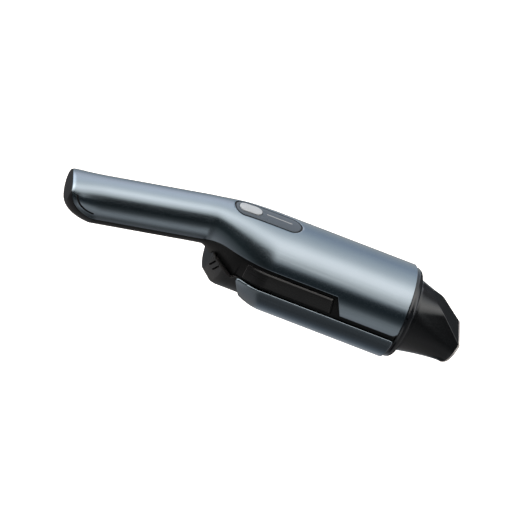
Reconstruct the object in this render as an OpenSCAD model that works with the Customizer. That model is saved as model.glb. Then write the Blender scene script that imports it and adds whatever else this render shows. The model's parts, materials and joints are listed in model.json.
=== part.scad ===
// Cordless handheld vacuum. A round barrel holds the dust cup and the motor,
// a nozzle stands on its front, and a straight handle drops away behind it.
// +X points to the nozzle and +Z up. The origin is the middle of the flat
// under the barrel. Most modules draw in the barrel frame, whose x = 0 is the
// front edge of the two coloured shells and whose z = 0 is the barrel's axis.

/* [Barrel] */
// Outer radius of the barrel
barrel_r = 40; // [39.5:0.1:40.5]
// Wall of the coloured shells
shell_wall = 1.8; // [1.6:0.1:1.9]
// Depth of the black side recess below the shells' surface
recess_depth = 2.2; // [2.1:0.05:2.3]
// Height of the barrel's axis above the flat it rests on
axis_z = 39; // [38.5:0.1:39.2]

/* [Handle] */
// Radius of the handle
handle_r = 20.5; // [20.4:0.1:21]
// Angle at which the handle drops to the back
handle_angle = 12.4; // [11:0.1:14]
// Rear end of the handle, from the shells' front edge
end_x = -292; // [-296:1:-290]
// Height of the handle's axis above the lower edge of the coloured shell
edge_drop = 8.7; // [8:0.1:9]

/* [Controls] */
// Length of the control panel
panel_len = 59.3; // [58:0.1:60]
// Width of the control panel
panel_w = 20.7; // [20:0.1:22]
// Length of the power button
button_len = 19.6; // [18:0.1:20]
// Width of the power button
button_w = 11.3; // [10:0.1:12]
// Travel of the power button
button_travel = 0.8; // [0.5:0.1:0.9]

/* [Dust cup] */
// Outer radius of the dust cup
cup_r = 35.2; // [35:0.1:35.3]
// Wall of the dust cup
cup_wall = 1.6; // [1.5:0.1:1.8]
// Length of the dust cup
cup_len = 88; // [87:0.5:88]
// Radius of the front ring
ring_r = 38.2; // [37.5:0.1:38.5]

/* [Nozzle] */
// Half of the nozzle mouth's outer width
mouth_w = 22.5; // [22:0.1:23]
// Depth of the nozzle's lower lip below the barrel's axis
mouth_h = 19.5; // [18:0.1:20]
// Reach of the nozzle's upper lip from the shells' front edge
lip_x = 55.2; // [54:0.2:56]

/* [Power] */
// Radius of a battery cell
cell_r = 9.15; // [9:0.05:9.2]
// Length of a battery cell
cell_len = 65; // [64:0.5:66]
// Radius of the motor can
motor_r = 17.9; // [17:0.1:18]
// Radius of the fan
fan_r = 27; // [25:0.5:28]

/* [Hidden] */

$fn = 96;
front_x = 60;                       // shells' front edge in the row frame
slope = tan(handle_angle);
bend_x = -183;                      // the handle's top line starts to level off
bend_len = 44;
flare_x = -174;                     // the round section starts to grow
flare_len = 58;
flare_end = flare_x + flare_len;
window_top = 13.4;                  // upper edge of the side recess
window_front = [-58, -50.2];        // its slanted front end, top and bottom
upper_low = -1.7;                   // lower edge of the upper shell's front part
lower_top = -5.9;                   // upper edge of the lower shell
corner_r = 5;                       // corner of the upper shell at the front
end_reach = 30;                     // length of the rounding under the handle's end
end_axis = -4;                      // height at which that rounding stands upright
end_drop = 19.7;                    // its depth below that height
rim = 1.9;                          // black rim round the handle's end
cap_x = -263;                       // front edge of the handle's end cap
frame_wall = 1.8;
seam = 0.25;                        // gap between neighbouring covers
slit = 0.3;                         // gap beside a piece that moves
split_x = -109;                     // barrel frame in front of it, handle frame behind
panel_x = -161;                     // rear end of the control panel
button_x = -157;                    // rear end of the power button
lens_x = -133.3;
lens_len = 22.5;
lens_w = 1;
cover_r = 32.9;
cover_back = -163.2;
cheek_line = [[-170, 5], [-141.5, -9.9]];

function ease(t) = t * t * (3 - 2 * t);
function clamp01(t) = min(1, max(0, t));
function mix(a, b, t) = a + (b - a) * t;
function along(a, b, n) = [for (i = [0 : n]) mix(a, b, i / n)];

function quarter(t) = sqrt(max(0, 1 - t * t));

// The body's outer surface, as sections across it. Each is an ellipse between a
// top and a bottom line, and a circle everywhere but near the handle's end.
function top_line(x) = barrel_r - slope * bend_len / 2 + slope * (x - bend_x);
function top_z(x) =
    x < bend_x ? top_line(x) - 3.5 * (1 - quarter(clamp01((end_x + 5 - x) / 5))) :
    x < bend_x + bend_len ? top_line(x) - slope * pow(x - bend_x, 2) / (2 * bend_len) : barrel_r;
function body_w(x) =
    x < flare_x ? handle_r - 3 * (1 - quarter(clamp01((end_x + 12 - x) / 12))) :
    mix(handle_r, barrel_r, ease(pow(clamp01((x - flare_x) / flare_len), 0.8)));
function bottom_z(x) =
    x < end_x + end_reach ? max(top_line(x) - 2 * handle_r,
        end_axis - end_drop * quarter((end_x + end_reach - x) / (end_reach + 1))) :
    top_z(x) - 2 * body_w(x);
function mid_z(x) = (top_z(x) + bottom_z(x)) / 2;
function body_h(x) = (top_z(x) - bottom_z(x)) / 2;

// Side view: the lower edge of the upper shell.
function end_arc(x) = top_line(end_x) - 23.6 * quarter((end_x + 30 - x) / 30);
function handle_edge(x) = top_line(x) - handle_r - edge_drop;
function corner(x) = x > -corner_r ? corner_r * (1 - quarter((x + corner_r) / corner_r)) : 0;
function edge_z(x) =
    x < end_x + 30 ? max(end_arc(x), handle_edge(x)) :
    x < window_front[0] ? mix(handle_edge(x), window_top, ease(clamp01((x + 178) / 22))) :
    x < window_front[1] ? mix(window_top, upper_low, (x - window_front[0]) / (window_front[1] - window_front[0])) :
    upper_low + corner(x);

// Angle from the top of a section to a given height on it.
function edge_angle(x, z) = acos(max(-1, min(1, (z - mid_z(x)) / body_h(x))));

// A point of the body's surface, sunk by d, at an angle from the top.
function body_point(x, a, d) = [x, (body_w(x) - d) * sin(a), mid_z(x) + (body_h(x) - d) * cos(a)];

// A closed wall between an outer and an inner grid of points, rows along +X.
// With ring = true each row is a closed loop.
module wall(outer, inner, ring = false) {
    n = len(outer);
    m = len(outer[0]);
    k = n * m;
    steps = ring ? m : m - 1;
    points = concat([for (row = outer) each row], [for (row = inner) each row]);
    skin = [for (i = [0 : n - 2], j = [0 : steps - 1]) let (e = (j + 1) % m) each [
        [i * m + j, i * m + e, (i + 1) * m + e, (i + 1) * m + j],
        [k + i * m + j, k + (i + 1) * m + j, k + (i + 1) * m + e, k + i * m + e]]];
    ends = [for (j = [0 : steps - 1]) let (e = (j + 1) % m, q = (n - 1) * m) each [
        [e, j, k + j, k + e],
        [q + j, q + e, k + q + e, k + q + j]]];
    sides = ring ? [] : [for (i = [0 : n - 2]) let (a = i * m, b = a + m, c = a + m - 1, d = b + m - 1) each [
        [a, b, k + b, k + a],
        [d, c, k + c, k + d]]];
    polyhedron(points = points, faces = concat(skin, ends, sides), convexity = 12);
}

// A patch of the body's surface between two depths.
module patch(xs, from, to, n, d_out, d_in) {
    wall([for (x = xs) [for (a = along(from, to, n)) body_point(x, a, d_out)]],
         [for (x = xs) [for (a = along(from, to, n)) body_point(x, a, d_in)]]);
}

// From the barrel frame to the row's frame.
module place() {
    translate([front_x, 0, axis_z]) children();
}

// Solids of revolution about the barrel's axis: [x, radius] points.
module turned(profile) {
    rotate([0, 90, 0]) rotate_extrude() polygon([for (p = profile) [p[1], p[0]]]);
}
module tube(x0, x1, r_out, r_in = 0) {
    translate([x0, 0, 0]) rotate([0, 90, 0]) difference() {
        cylinder(h = x1 - x0, r = r_out);
        if (r_in > 0) translate([0, 0, -1]) cylinder(h = x1 - x0 + 2, r = r_in);
    }
}

// A side-view outline in x and z, carried right across the body.
module across(outline, half = 60) {
    rotate([90, 0, 0]) linear_extrude(height = 2 * half, center = true) polygon(outline);
}
module block(x, y, z) {
    translate([x[0], y[0], z[0]]) cube([x[1] - x[0], y[1] - y[0], z[1] - z[0]]);
}

// A slot with round ends on the top centre line, as an upright prism.
module stadium(x0, length, width) {
    translate([x0 + length / 2, 0, 20]) linear_extrude(height = 30) union() {
        square([length - width, width], center = true);
        for (s = [-1, 1]) translate([s * (length - width) / 2, 0]) circle(d = width);
    }
}
module on_top(x0, length, width, d_out, d_in) {
    intersection() {
        patch(along(x0 - 1, x0 + length + 1, 12), -24, 24, 8, d_out, d_in);
        stadium(x0, length, width);
    }
}

// From the handle's own frame: x along the handle, z = 0 on its axis.
module along_handle() {
    translate([bend_x, 0, top_line(bend_x) - handle_r]) rotate([0, -handle_angle, 0]) children();
}

// ---------- covers ----------

rear_rows = [for (d = [rim, 3, 5, 8, 12, 17, 23, 30]) end_x + d];
shoulder_rows = along(bend_x, flare_end, 14);
corner_rows = [for (a = [0, 30, 55, 75, 90]) -corner_r + corner_r * sin(a)];

module upper_shell() {
    rows = concat(rear_rows, shoulder_rows, along(window_front[0], window_front[1], 5), corner_rows);
    angles = [for (x = rows) edge_angle(x, edge_z(x))];
    grid = function(d) [for (i = [0 : len(rows) - 1])
        [for (a = along(-angles[i], angles[i], 22)) body_point(rows[i], a, d)]];
    color("slategray") place() difference() {
        wall(grid(0), grid(shell_wall));
        stadium(panel_x, panel_len, panel_w);
    }
}

// Rear edge of the lower shell at a given height, with a rounded nose.
function nose(z) = let (c = 5) z > lower_top - c ? c - sqrt(max(0, c * c - pow(z - lower_top + c, 2))) : 0;
function lower_back(z) = -141 + (lower_top - z) * 14 / 30 + nose(z);

module lower_shell() {
    a0 = acos(lower_top / barrel_r);
    spread = along(a0, 360 - a0, 22);
    shrink = function(t) 5.2 * pow(clamp01(1 - t / 20), 1.8);
    steps = [0, 2, 5, 9, 14, 20];
    row = function(i, a, d) let (back = lower_back(barrel_r * cos(a)),
        x = i < len(steps) ? back + steps[i] : i == len(steps) ? -30 : -seam,
        r = barrel_r - shrink(x - back) - d) [x, r * sin(a), r * cos(a)];
    grid = function(d) [for (i = [0 : len(steps) + 1]) [for (a = spread) row(i, a, d)]];
    color("darkslategray") place() difference() {
        wall(grid(0), grid(shell_wall));
        translate([-200, -30, -axis_z - 10]) cube([260, 60, 10]);
    }
}

// Side-view region that the handle frame leaves to the rear cover and lower shell.
cheek_cut = [[-163.5, 1.6], cheek_line[1], [-141.5, lower_top + seam], [0, lower_top + seam], [0, -60], [-163.5, -60]];

// The black underside of the body: everything below the upper shell's edge.
module frame_skin(rows) {
    sink = function(x) recess_depth * ease(clamp01((x + 152) / 14));
    angles = [for (x = rows) x < end_x + rim - 0.01 ? 0.5 : edge_angle(x, edge_z(x) - seam)];
    grid = function(d) [for (i = [0 : len(rows) - 1])
        [for (a = along(angles[i], 360 - angles[i], 20)) body_point(rows[i], a, d + sink(rows[i]))]];
    wall(grid(0), grid(frame_wall));
}

underside = -handle_r * cos(handle_angle);
screw_rows = [-70, -20];

module handle_frame() {
    color("dimgray") place() difference() {
        union() {
            frame_skin(concat([cap_x + seam], shoulder_rows, [split_x - seam]));
            along_handle() for (x = screw_rows) translate([x, 0, underside + 1])
                cylinder(h = 6.5, r = 3.4, $fn = 32);
        }
        across(cheek_cut);
        along_handle() for (x = screw_rows) translate([x, 0, underside - 5]) {
            cylinder(h = 20, r = 1.5, $fn = 32);
            cylinder(h = 6.2, r = 2.8, $fn = 32);
        }
    }
}

// Screws through the handle's underside into the battery holder.
module handle_screws() {
    color("silver") place() along_handle() for (x = screw_rows) translate([x, 0, underside]) {
        translate([0, 0, 0.1]) cylinder(h = 1, r = 2.5, $fn = 32);
        translate([0, 0, 1.1]) cylinder(h = 9, r = 1.3, $fn = 32);
    }
}

module barrel_frame() {
    outer = barrel_r - recess_depth;
    color("dimgray") place() difference() {
        tube(split_x, -1.5, outer, outer - 2.2);
        // Shallow pockets that the release levers press into.
        for (s = [-1, 1]) intersection() {
            across([[-104, -3.6], [-104, 10.3], [-59.5, 10.3], [-56.8, -3.6]]);
            tube(-104, -55, outer + 1, outer - 1.3);
            block([-110, 0], s > 0 ? [20, 45] : [-45, -20], [-10, 20]);
        }
    }
}

module rear_cover() {
    wall_t = 1.8;
    inside = cover_back + wall_t;
    profile = [[cover_back, 0], [cover_back, 22.8], [cover_back + 0.8, 24.8], [-153.2, 32.1],
        [-151, cover_r], [-118, cover_r], [-118, cover_r - wall_t], [-151.6, cover_r - wall_t],
        [inside + 1, 24], [inside, 22], [inside, 0]];
    top = lower_top - 0.4;
    keep = [[-170, 4.2], [-163, 0.9], [-142.2, -10], [-141.9, top], [-110, top], [-110, -60], [-170, -60]];
    color("black") place() difference() {
        intersection() {
            turned(profile);
            across(keep);
        }
        // Two slanted exhaust slots through each side.
        for (at = [[-160.8, -5.6], [-157.2, -7.8]], s = [-1, 1])
            translate([at[0], s * 27, at[1]]) rotate([0, 28, 0]) cube([1.4, 20, 6], center = true);
        // Bottom exhaust slots.
        for (x = [-138, -133]) translate([x, 0, -32]) cube([2, 22, 8], center = true);
    }
}

// The charging port sits on the slanted face under the handle's end. Its own
// frame has x = 0 on that face and +x pointing into the handle.
port_x = -284;
port_tilt = 42;
module at_port() {
    translate([port_x, 0, bottom_z(port_x)]) rotate([0, -port_tilt, 0]) children();
}
module port_slot(x0, x1, r) {
    half = 2.95;
    for (s = [-1, 1]) translate([0, s * half, 0]) tube(x0, x1, r);
    block([x0, x1], [-half, half], [-r, r]);
}

module handle_end_cap() {
    rows = concat([end_x, end_x + 0.7, end_x + rim - seam], [for (x = rear_rows) if (x < cap_x) x], [cap_x]);
    outline = [for (a = [0 : 10 : 350]) let (p = body_point(end_x + 0.8, a, 1.2)) [-p[2], p[1]]];
    color("black") place() difference() {
        union() {
            frame_skin(rows);
            translate([end_x, 0, 0]) rotate([0, 90, 0]) linear_extrude(height = 1.4) polygon(outline);
        }
        at_port() port_slot(-4, 4, 1.75);
    }
}

module usb_socket() {
    color("silver") place() at_port() {
        difference() {
            port_slot(0.4, 7.4, 1.6);
            port_slot(-1, 6.4, 1.28);
        }
        block([1.2, 6.6], [-3.3, 3.3], [-0.35, 0.35]);
    }
}

module charge_board() {
    color("green") place() at_port() block([4.4, 13], [-7, 7], [-2.9, -1.7]);
}

// ---------- controls ----------

panel_gap = 0.7;
module control_panel() {
    color("dimgray") place() difference() {
        on_top(panel_x + panel_gap, panel_len - 2 * panel_gap, panel_w - 2 * panel_gap, 0.2, 1.8);
        stadium(button_x - slit, button_len + 2 * slit, button_w + 2 * slit);
        stadium(lens_x, lens_len, lens_w);
    }
}

module panel_gasket() {
    gap = 0.1;
    inset = panel_gap - gap;
    color("black") place() difference() {
        on_top(panel_x + gap, panel_len - 2 * gap, panel_w - 2 * gap, 0.9, 2);
        stadium(panel_x + inset, panel_len - 2 * inset, panel_w - 2 * inset);
    }
}

module power_button() {
    color("lightgray") place() {
        on_top(button_x, button_len, button_w, -0.7, 1.8);
        translate([button_x + button_len / 2, 0, switch_top + button_travel + 0.05])
            cylinder(h = 2.4, r = 1.6, $fn = 32);
    }
}

board_z = 31.4;
switch_top = board_z + 3.9;
module control_board() {
    color("green") place() block([-159, -111.5], [-8, 8], [board_z, board_z + 1.2]);
}

module tact_switch() {
    x = button_x + button_len / 2;
    color("black") place() {
        block([x - 3, x + 3], [-3, 3], [board_z + 1.2, board_z + 3.4]);
        translate([x, 0, board_z + 3.4]) cylinder(h = switch_top - board_z - 3.4, r = 1.7, $fn = 32);
    }
}

module indicator_lens() {
    color("white") place() on_top(lens_x, lens_len, lens_w, 0.1, 3.2);
}

module indicator_leds() {
    color("white") place() for (x = along(lens_x + 3, lens_x + lens_len - 3, 3))
        block([x - 1, x + 1], [-0.7, 0.7], [board_z + 1.2, board_z + 2]);
}

// ---------- battery ----------

cell_from = -86;      // front ends of the cells, along the handle from the bend
module cell(side) {
    color("seagreen") place() along_handle() translate([0, side * (cell_r + 0.15), 0])
        tube(cell_from, cell_from + cell_len, cell_r);
}
module battery_cell_left() { cell(1); }
module battery_cell_right() { cell(-1); }

module battery_holder() {
    ends = [cell_from - 3.2, cell_from + cell_len + 0.8];
    color("black") place() along_handle() difference() {
        union() {
            for (x = ends) intersection() {
                tube(x, x + 2.4, handle_r - frame_wall - 0.7);
                block([x, x + 2.4], [-30, 30], [-10.9, 9.6]);
            }
            block([ends[0] + 1, ends[1] + 1], [-11, 11], [-10.9, -9.5]);
        }
        for (s = [-1, 1]) translate([0, s * (cell_r + 0.15), 0]) tube(ends[0] - 1, ends[1] + 5, 5);
        for (x = screw_rows) translate([x, 0, -14]) cylinder(h = 6, r = 1.35, $fn = 32);
    }
}

module nickel_strips() {
    w = 3.5;
    color("silver") place() along_handle() {
        block([cell_from + cell_len + 0.1, cell_from + cell_len + 0.4], [-cell_r - 3, cell_r + 3], [-w, w]);
        for (s = [-1, 1]) block([cell_from - 0.4, cell_from - 0.1], [s * cell_r - 4, s * cell_r + 4], [-w, w]);
    }
}

// ---------- motor and fan ----------

can_back = -150;
can_front = -106;
shaft_r = 1.585;

module motor_can() {
    color("silver") place() difference() {
        union() {
            tube(can_back, can_front - 1, motor_r, motor_r - 1.2);
            tube(can_front - 1, can_front, motor_r, 4.05);
            tube(can_front, can_front + 1.8, 6.2, 4.05);
        }
        for (a = [0, 180]) rotate([a, 0, 0]) translate([0, 0, 11.5]) tube(-108, -105, 1.55);
    }
}

module motor_magnets() {
    r = motor_r - 1.3;
    color("dimgray") place() for (s = [0, 180]) rotate([s, 0, 0]) intersection() {
        tube(-142, -114, r, r - 3.4);
        across([[-142, 6], [-142, 30], [-114, 30], [-114, 6]]);
    }
}

module motor_end_bell() {
    color("black") place() union() {
        tube(can_back - 2.5, can_back - 0.1, motor_r, 5);
        tube(can_back - 6, can_back - 2.5, 6.4, 4.05);
    }
}

module motor_terminals() {
    color("gold") place() for (s = [-1, 1])
        block([can_back - 7, can_back - 2.6], [s * 12 - 1.5, s * 12 + 1.5], [-0.3, 0.3]);
}

module front_bearing() {
    color("silver") place() tube(can_front - 0.8, can_front + 1.8, 4, shaft_r + 0.04);
}
module rear_bearing() {
    color("silver") place() tube(can_back - 6, can_back - 2.9, 4, shaft_r + 0.04);
}

module motor_shaft() {
    color("silver") place() tube(-156.8, -94.2, shaft_r);
}

module rotor_core() {
    color("peru") place() difference() {
        tube(-140, -116, 12.4, shaft_r + 0.01);
        for (a = [0 : 72 : 359]) rotate([a, 0, 0]) block([-141, -115], [-1, 1], [8, 13]);
    }
}

module commutator() {
    color("gold") place() difference() {
        tube(-147.5, -141.5, 5, shaft_r + 0.01);
        for (a = [0 : 72 : 359]) rotate([a, 0, 0]) block([-148, -141], [-0.3, 0.3], [4, 6]);
    }
}

module impeller() {
    hub = 5;
    color("black") place() {
        difference() {
            union() {
                tube(-102.4, -101.2, fan_r);
                tube(-101.2, -95.4, hub);
                for (a = [0 : 40 : 359]) rotate([a, 0, 0]) translate([-101.3, -0.6, hub - 0.5]) rotate([18, 0, 0])
                    cube([5.4, 1.2, fan_r - hub - 2]);
            }
            tube(-104, -94, shaft_r + 0.01);
        }
    }
}

module fan_housing() {
    bore = barrel_r - recess_depth - 2.2;
    color("dimgray") place() difference() {
        union() {
            tube(-105.8, -104, bore - 0.2, 6.4);
            tube(-104, -92.6, bore - 0.2, fan_r + 1.4);
            tube(-114, -105.8, motor_r + 4, motor_r + 1.8);
        }
        // Ports that let the air leave behind the fan.
        for (a = [30 : 60 : 359]) rotate([a, 0, 0]) translate([-100.5, 0, fan_r + 3.6])
            cube([14, 13, 4.4], center = true);
        for (a = [0, 180]) rotate([a, 0, 0]) translate([0, 0, 11.5]) tube(-107, -103, 1.7);
    }
}

module motor_rubber_ring() {
    color("black") place() tube(-113.6, -106.2, motor_r + 1.7, motor_r + 0.1);
}

module motor_screws() {
    color("silver") place() for (a = [0, 180]) rotate([a, 0, 0]) translate([0, 0, 11.5]) {
        tube(-107, -104, 1.5);
        tube(-104, -103, 2.6);
    }
}

module fan_shroud() {
    bore = barrel_r - recess_depth - 2.2;
    color("dimgray") place() tube(-92.4, -91.2, bore - 0.2, 12);
}

module bulkhead() {
    bore = barrel_r - recess_depth - 2.2;
    color("black") place() difference() {
        tube(-91, -89.7, bore - 0.2);
        for (r = [0, 8, 14, 20]) for (i = [0 : max(0, r / 2 - 1)]) rotate([i * 720 / max(2, r), 0, 0])
            translate([0, 0, r]) tube(-92, -89, 1.5, $fn = 24);
    }
}

module cup_seal() {
    color("black") place() tube(-89.6, -cup_len - 0.35, cup_r - 0.2, cup_r - cup_wall);
}

module exhaust_foam() {
    color("dimgray") place() intersection() {
        tube(-144, -128, cover_r - 2.1, cover_r - 6.1);
        across([[-144, -12], [-128, -12], [-128, -60], [-144, -60]]);
    }
}

// ---------- release levers ----------

module release_lever(side) {
    outline = [[-136, -3.1], [-136, 9.8], [-61, 9.8], [-58.4, -3.1]];
    color("black") place() intersection() {
        patch(concat(along(-137, -116, 4), [-56]), side > 0 ? 60 : -104, side > 0 ? 104 : -60, 8, 0.5, 1.4);
        across(outline);
    }
}
module left_release_lever() { release_lever(1); }
module right_release_lever() { release_lever(-1); }

// ---------- dust cup ----------

ring_back = 0.3;
ring_front = 6.9;
bore_r = 28;
duct_back = -34;
module dust_cup() {
    color("gray") place() union() {
        tube(-cup_len, ring_back, cup_r, cup_r - cup_wall);
        tube(-8, -6.4, cup_r - 1, 15);
    }
}

module front_ring() {
    arc = [for (a = along(0, 90, 6)) [ring_front - 4.5 + 4.5 * sin(a), ring_r - 3.6 + 3.6 * cos(a)]];
    color("black") place() difference() {
        turned(concat([[ring_back, bore_r], [ring_back, ring_r]], arc, [[ring_front, bore_r]]));
        // Index marks on both sides.
        for (s = [-1, 1], a = [56, 66]) rotate([s * a, 0, 0]) translate([1.9, 0, ring_r - 1])
            cylinder(h = 3, r = 1, $fn = 24);
    }
}

flap_z = 16.6;
module inlet_duct() {
    color("gray") place() difference() {
        union() {
            tube(duct_back, -6.4, 14.8, 13.4);
            for (s = [-1, 1]) block([duct_back - 1.6, duct_back + 3], [s * 8.5 - 1, s * 8.5 + 1], [11.5, flap_z + 1.8]);
        }
        translate([duct_back - 0.2, 0, flap_z]) rotate([90, 0, 0]) cylinder(h = 30, r = 0.76, center = true, $fn = 32);
        tube(duct_back - 2, -6, 13.4);
    }
}

module flap_pin() {
    color("silver") place() translate([duct_back - 0.2, 0, flap_z]) rotate([90, 0, 0])
        cylinder(h = 19.6, r = 0.75, center = true, $fn = 32);
}

module inlet_flap() {
    color("black") place() difference() {
        union() {
            tube(duct_back - 1.6, duct_back - 0.4, 14.6);
            block([duct_back - 1.6, duct_back - 0.4], [-6.5, 6.5], [8, flap_z]);
            translate([duct_back - 0.2, 0, flap_z]) rotate([90, 0, 0]) cylinder(h = 13, r = 1.5, center = true, $fn = 32);
        }
        translate([duct_back - 0.2, 0, flap_z]) rotate([90, 0, 0]) cylinder(h = 30, r = 0.8, center = true, $fn = 32);
        for (s = [-1, 1]) block([duct_back - 3, duct_back], [s * 8.5 - 1.5, s * 8.5 + 1.5], [10.8, 20]);
    }
}

mesh_r = 27.6;
module filter_frame() {
    r = cup_r - cup_wall - 0.5;
    color("black") place() union() {
        tube(-cup_len + 0.2, -84, r, 15);
        tube(-84.2, -81, mesh_r - 0.8, 24.6);
        tube(-57, -55.4, mesh_r - 0.8);
        for (a = [45 : 90 : 359]) rotate([a, 0, 0]) block([-84.2, -56.5], [-1.2, 1.2], [24.6, mesh_r - 1]);
    }
}

module hepa_filter() {
    pleats = 30;
    star = [for (i = [0 : 2 * pleats - 1]) let (a = i * 180 / pleats, r = i % 2 == 0 ? 24.2 : 19.6)
        [r * cos(a), r * sin(a)]];
    color("white") place() translate([-83.9, 0, 0]) rotate([0, 90, 0]) linear_extrude(height = 26.8) difference() {
        polygon(star);
        circle(r = 15.2);
    }
}

module filter_mesh() {
    color("silver") place() union() {
        tube(-83.9, -54.6, mesh_r, mesh_r - 0.7);
        tube(-55.3, -54.6, mesh_r);
    }
}

// ---------- nozzle ----------

base_x = ring_front + 0.3;
spigot_x = -5.6;
loft_x = 10;                        // the round base ends and the tapering starts
base_r = 30.5;
mouth_corner = 5;                   // radius of the mouth's lower corners
top_corner = 3;                     // radius of its upper corners
nozzle_wall = 1.7;
lip_lean = 6.2;                     // how far the lower lip stands behind the upper one
top_slope = 0.87;                   // slope of the flat top face

// Centres of the mouth's corners, as [y, z], from the top to the bottom.
mouth_centres = [[5.2, 19], [mouth_w - mouth_corner, -7.7], [mouth_w - mouth_corner, mouth_corner - mouth_h]];

function top_round(t) = mix(top_corner, base_r, pow(1 - t, 1.3));
function low_round(t) = mix(mouth_corner, base_r, pow(1 - t, 1.15));

// The direction the slanted side faces, square to a line that touches both its corners.
function side_angle(t) =
    let (u = max(t, 0.001), step = (mouth_centres[1] - mouth_centres[0]) * u)
    atan2(step[0], step[1]) - acos((top_round(u) - low_round(u)) / norm(step));

// Directions round a section from the top, each with the corner it belongs to.
function turn(t) =
    let (side = side_angle(t),
         half = concat([for (a = along(0, side, 8)) [a, 0]], [for (a = along(side, 90, 3)) [a, 1]],
             [for (a = along(90, 180, 7)) [a, 2]]),
         last = len(half) - 1)
    concat(half, [for (i = [last : -1 : 0]) [360 - half[i][0], half[i][1]]]);

// One closed section, t from 0 at the round base to 1 at the mouth, sunk by d.
function nozzle_row(t, d) =
    let (x = mix(loft_x, lip_x, t), top = top_slope * (lip_x - x) - d)
    [for (k = turn(t)) let (c = mouth_centres[k[1]] * t,
        r = (k[1] == 0 ? top_round(t) : low_round(t)) - d,
        y = r * sin(k[0]) + c[0] * (k[0] > 180 ? -1 : 1),
        z = min(top, r * cos(k[0]) + c[1]))
        [x + lip_lean * t * min(0, z) / mouth_h, y, z]];

module nozzle() {
    ts = along(0, 1, 16);
    round_row = function(x, r) [for (k = turn(0)) [x, r * sin(k[0]), r * cos(k[0])]];
    color("black") place() {
        wall(concat([round_row(base_x, base_r + 0.2)], [for (t = ts) nozzle_row(t, 0)]),
             concat([round_row(base_x, 25.4)], [for (t = ts) nozzle_row(t, nozzle_wall + 1.8 * pow(1 - t, 4))]),
             ring = true);
        tube(spigot_x, base_x + 0.8, bore_r - 0.35, 26);
    }
}

module nozzle_seal() {
    color("dimgray") place() tube(-6.3, spigot_x - 0.05, bore_r - 0.6, 26);
}

upper_shell();
lower_shell();
handle_frame();
barrel_frame();
rear_cover();
handle_end_cap();
usb_socket();
charge_board();
handle_screws();
control_panel();
panel_gasket();
power_button();
tact_switch();
indicator_lens();
indicator_leds();
control_board();
battery_cell_left();
battery_cell_right();
battery_holder();
nickel_strips();
motor_can();
motor_magnets();
motor_end_bell();
motor_terminals();
motor_screws();
motor_rubber_ring();
front_bearing();
rear_bearing();
motor_shaft();
rotor_core();
commutator();
impeller();
fan_housing();
fan_shroud();
bulkhead();
cup_seal();
exhaust_foam();
left_release_lever();
right_release_lever();
dust_cup();
front_ring();
inlet_duct();
flap_pin();
inlet_flap();
filter_frame();
hepa_filter();
filter_mesh();
nozzle();
nozzle_seal();
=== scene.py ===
import json
import math

import bmesh
import bpy
from mathutils import Matrix, Vector


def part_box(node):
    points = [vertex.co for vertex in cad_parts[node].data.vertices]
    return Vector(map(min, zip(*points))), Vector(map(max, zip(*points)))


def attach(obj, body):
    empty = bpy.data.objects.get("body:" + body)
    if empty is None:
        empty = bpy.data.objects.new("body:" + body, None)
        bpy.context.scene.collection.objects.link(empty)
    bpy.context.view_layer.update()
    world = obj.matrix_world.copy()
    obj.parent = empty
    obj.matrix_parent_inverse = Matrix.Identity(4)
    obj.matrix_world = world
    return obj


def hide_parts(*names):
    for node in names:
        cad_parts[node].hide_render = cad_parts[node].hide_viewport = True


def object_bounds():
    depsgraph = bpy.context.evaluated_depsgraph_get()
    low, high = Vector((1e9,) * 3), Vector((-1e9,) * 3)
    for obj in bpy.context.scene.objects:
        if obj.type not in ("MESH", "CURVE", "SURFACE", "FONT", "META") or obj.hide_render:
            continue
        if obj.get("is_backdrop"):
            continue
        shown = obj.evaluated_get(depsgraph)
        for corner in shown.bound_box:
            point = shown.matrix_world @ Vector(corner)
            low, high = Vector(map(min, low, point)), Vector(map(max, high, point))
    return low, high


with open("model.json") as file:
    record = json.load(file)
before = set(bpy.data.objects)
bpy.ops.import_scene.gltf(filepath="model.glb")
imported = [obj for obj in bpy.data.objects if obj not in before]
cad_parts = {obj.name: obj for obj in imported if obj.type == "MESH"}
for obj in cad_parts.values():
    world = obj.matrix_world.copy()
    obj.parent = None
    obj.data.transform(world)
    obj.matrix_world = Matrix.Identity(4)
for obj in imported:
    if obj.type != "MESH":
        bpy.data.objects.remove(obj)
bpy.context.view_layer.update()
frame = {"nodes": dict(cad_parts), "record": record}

MM = 0.001

# The barrel frame, in mm: x = 0 at the shells' front edge, z = 0 on the barrel's axis.
FRONT_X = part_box("upper_shell")[1].x
AXIS_Z = (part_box("barrel_frame")[0].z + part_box("barrel_frame")[1].z) / 2


def to_row(p):
    return (FRONT_X + p[0] * MM, p[1] * MM, AXIS_Z + p[2] * MM)


# ---------- the body's shape, the same functions as the CAD source ----------

BARREL_R, WALL, FRAME_WALL = 40.0, 1.8, 1.8
HANDLE_R, HANDLE_TILT = 20.5, math.radians(12.4)
SLOPE = math.tan(HANDLE_TILT)
BEND_X, BEND_LEN = -183.0, 44.0              # where the handle's line bends into the barrel's
FLARE_X, FLARE_LEN = -174.0, 58.0            # where the handle's width grows to the barrel's
END_X, END_REACH, END_AXIS, END_DROP = -292.0, 30.0, -4.0, 19.7
END_TOP_DROP, END_TOP_LEN = 3.5, 5.0
END_TAPER, END_TAPER_LEN = 3.0, 12.0
EDGE_DROP, EDGE_ARC_DROP, EDGE_ARC_LEN = 8.7, 23.6, 30.5
EDGE_RISE_X, EDGE_RISE_LEN = -178.0, 22.0    # where the upper shell's edge climbs over the side recess
WINDOW_TOP, WINDOW_FRONT = 13.4, (-58.0, -50.2)
RECESS, RECESS_X, RECESS_LEN = 2.2, -152.0, 14.0
UPPER_LOW, LOWER_TOP, CORNER_R = -1.7, -5.9, 5.0
RIM, CAP_X, SEAM, SPLIT_X = 1.9, -263.0, 0.25, -109.0
REAR_LEAN, REAR_LEAN_LEN = 1.7, 16.0

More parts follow.
